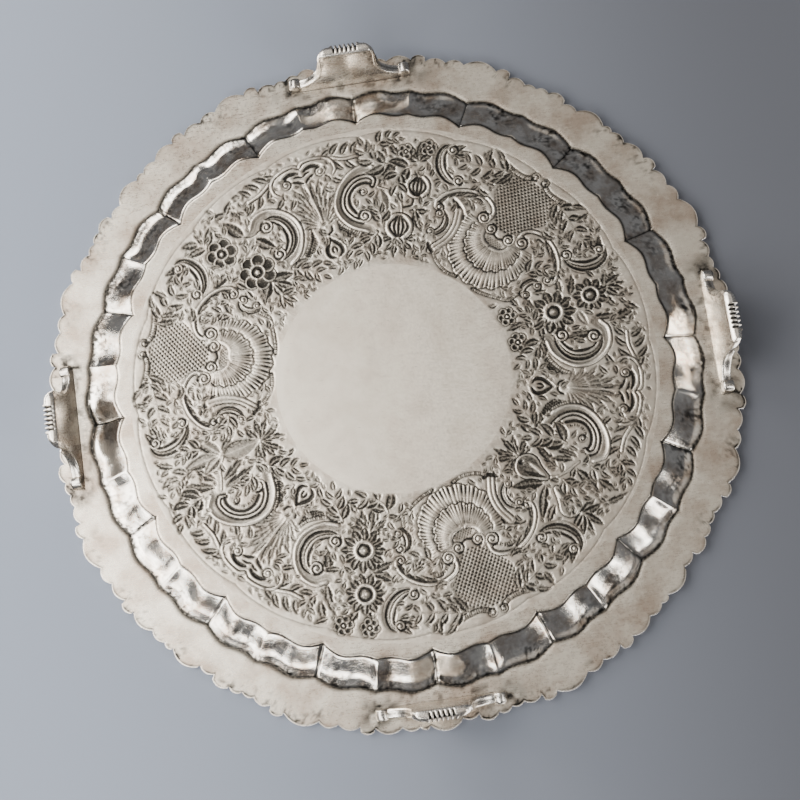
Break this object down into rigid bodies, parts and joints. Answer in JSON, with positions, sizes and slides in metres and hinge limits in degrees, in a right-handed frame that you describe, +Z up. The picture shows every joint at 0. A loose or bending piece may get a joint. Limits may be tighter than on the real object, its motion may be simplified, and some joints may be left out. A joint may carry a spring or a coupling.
{
  "type": "salver",
  "caption": "Large round footed silver salver: flat plate with a lobed raised wall, a cast scalloped border and cast shell-and-scroll feet, for carrying and serving.",
  "frame": {"origin": "on the table under the centre of the plate, in the plane of the four soles", "axes": "+Z up through the serving face; +X and +Y each pass over a foot"},
  "size_m": [0.5242, 0.5242, 0.05],
  "materials": {
    "sheet_silver": "raised sheet silver, softly buffed, chased, with grey tarnish in the recesses",
    "cast_silver": "cast silver, bright on the high edges, dark in the hollows and at the soldered joints"
  },
  "bodies": {
    "root": {"plate": "sheet_silver", "border_casting_1": "cast_silver", "border_casting_2": "cast_silver", "border_casting_3": "cast_silver", "border_casting_4": "cast_silver", "border_casting_5": "cast_silver", "border_casting_6": "cast_silver", "border_casting_7": "cast_silver", "border_casting_8": "cast_silver", "foot_1": "cast_silver", "foot_2": "cast_silver", "foot_3": "cast_silver", "foot_4": "cast_silver"}
  },
  "joints": []
}
